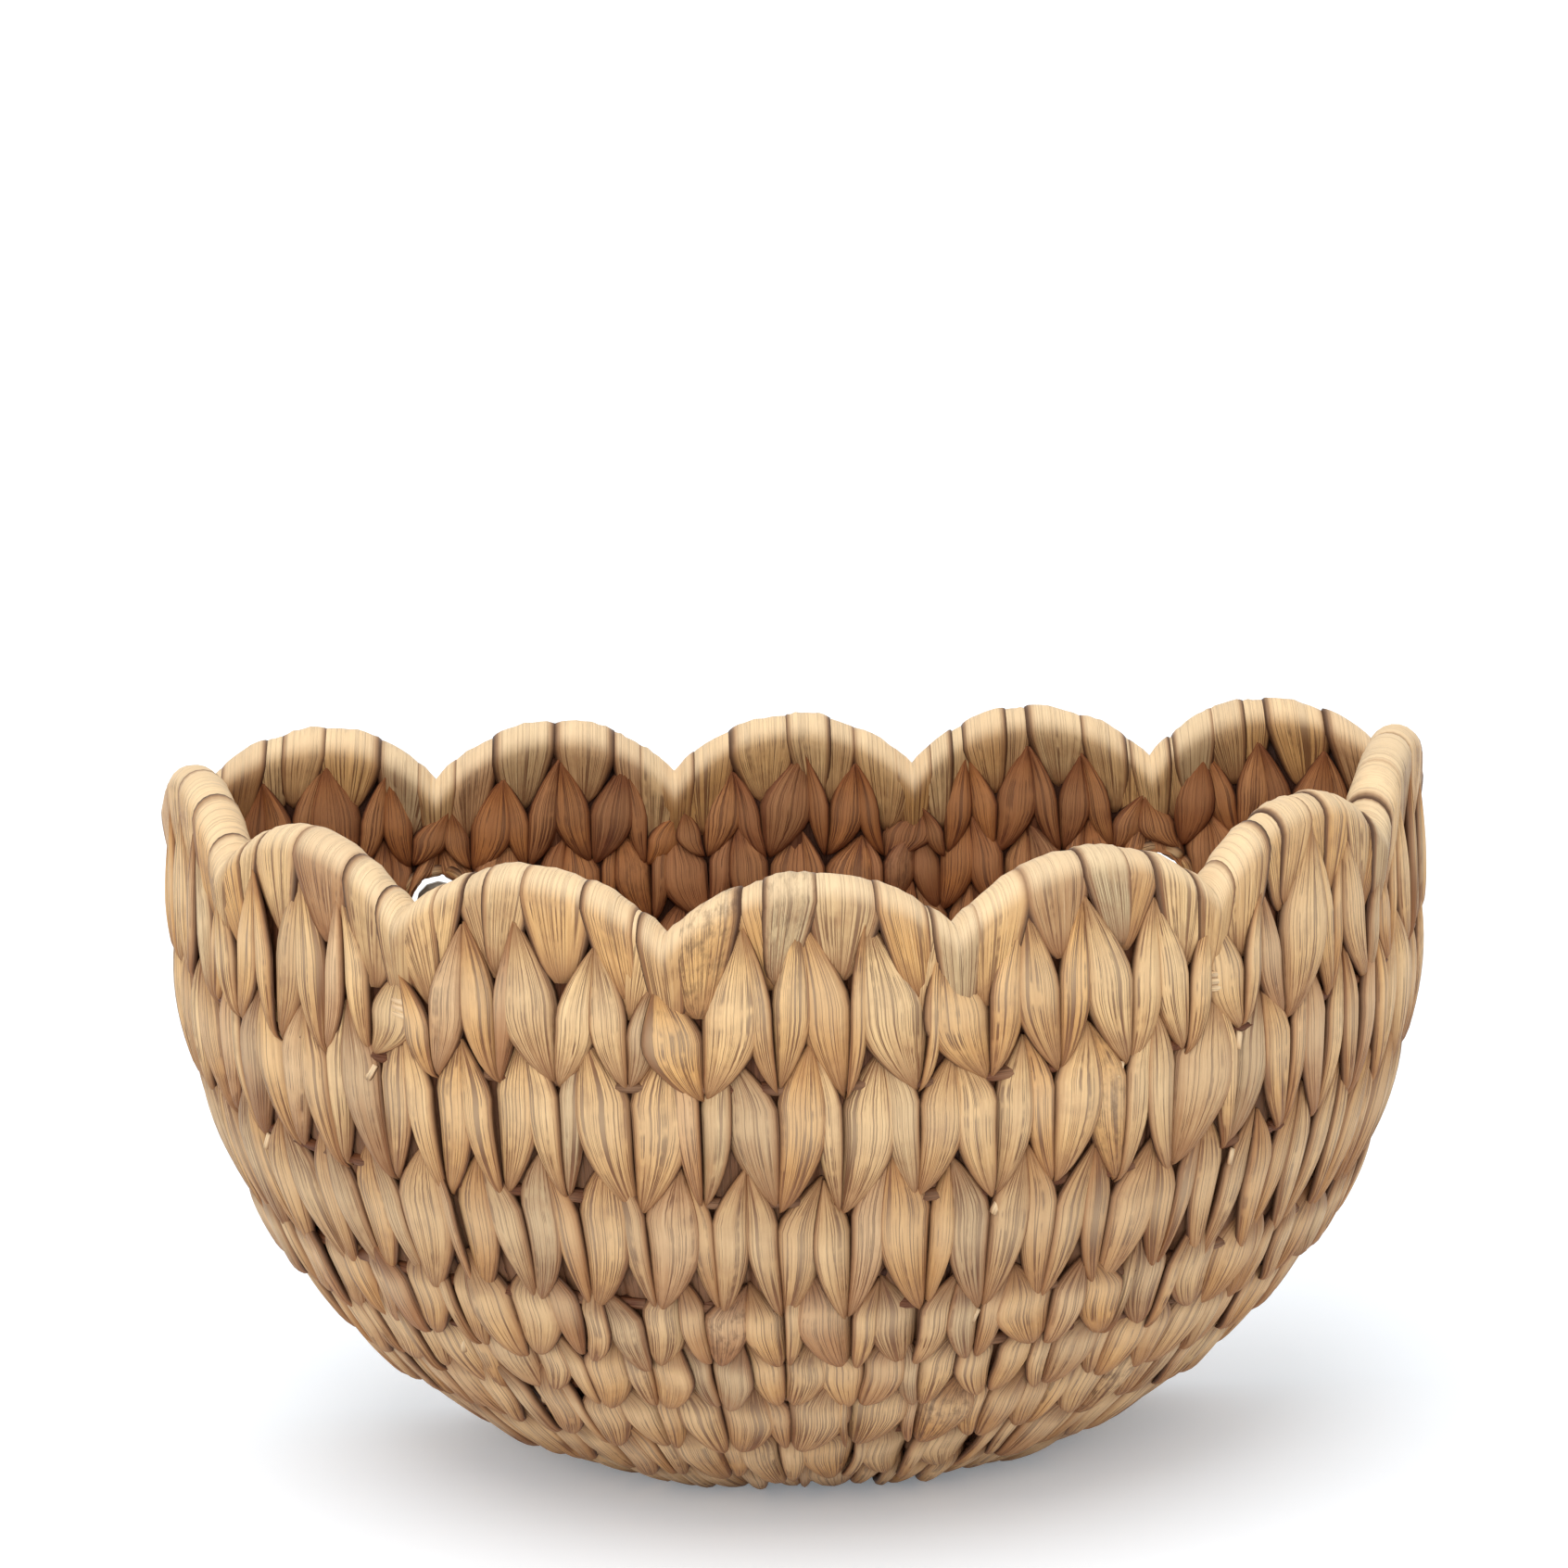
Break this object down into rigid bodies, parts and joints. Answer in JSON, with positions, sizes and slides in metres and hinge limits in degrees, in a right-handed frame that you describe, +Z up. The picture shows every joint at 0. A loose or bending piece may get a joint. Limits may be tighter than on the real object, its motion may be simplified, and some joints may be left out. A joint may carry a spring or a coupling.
{
  "type": "wall basket",
  "caption": "Half-round wall basket with a flat back and scalloped rim, leaf strands woven over a wire frame, with wire hanging eyes in the back.",
  "frame": {"origin": "under the middle of the basket, on the surface that the base stands on", "axes": "+X to the right seen from the front, +Y towards the wall behind the flat back, +Z up"},
  "size_m": [0.3593, 0.1795, 0.207],
  "materials": {
    "woven_leaf": "dried water hyacinth leaf strands in tan, golden and grey-brown, long ribs along the leaf, satin",
    "rim_leaf": "flat leaf strands folded over the rim, paler and smoother than the walls",
    "strap_leaf": "leaf strands wound over the rim at each valley, darker brown, matt",
    "frame_wire": "iron wire with a thin pale grey-cream coat"
  },
  "bodies": {
    "root": {"rim_wire": "frame_wire", "base_ring": "frame_wire", "hoop_wire_1": "frame_wire", "hoop_wire_2": "frame_wire", "hoop_wire_3": "frame_wire", "hoop_wire_4": "frame_wire", "hoop_wire_5": "frame_wire", "hoop_wire_6": "frame_wire", "hoop_wire_7": "frame_wire", "front_rib_1": "frame_wire", "front_rib_2": "frame_wire", "front_rib_3": "frame_wire", "front_rib_4": "frame_wire", "front_rib_5": "frame_wire", "front_rib_6": "frame_wire", "corner_rib_right": "frame_wire", "corner_rib_left": "frame_wire", "back_rib_1": "frame_wire", "back_rib_2": "frame_wire", "back_rib_3": "frame_wire", "base_wire_right": "frame_wire", "base_wire_left": "frame_wire", "front_rim_band_1": "rim_leaf", "front_rim_band_2": "rim_leaf", "front_rim_band_3": "rim_leaf", "front_rim_band_4": "rim_leaf", "front_rim_band_5": "rim_leaf", "front_rim_band_6": "rim_leaf", "front_rim_band_7": "rim_leaf", "back_rim_band_1": "rim_leaf", "back_rim_band_2": "rim_leaf", "back_rim_band_3": "rim_leaf", "back_rim_band_4": "rim_leaf", "back_rim_band_5": "rim_leaf", "front_valley_strap_1": "strap_leaf", "front_valley_strap_2": "strap_leaf", "front_valley_strap_3": "strap_leaf", "front_valley_strap_4": "strap_leaf", "front_valley_strap_5": "strap_leaf", "front_valley_strap_6": "strap_leaf", "back_valley_strap_1": "strap_leaf", "back_valley_strap_2": "strap_leaf", "back_valley_strap_3": "strap_leaf", "back_valley_strap_4": "strap_leaf", "corner_strap_right": "strap_leaf", "corner_strap_left": "strap_leaf", "hanging_eye_right": "frame_wire", "hanging_eye_left": "frame_wire", "front_weave": "woven_leaf", "back_weave": "woven_leaf", "base_weave": "woven_leaf"}
  },
  "joints": []
}
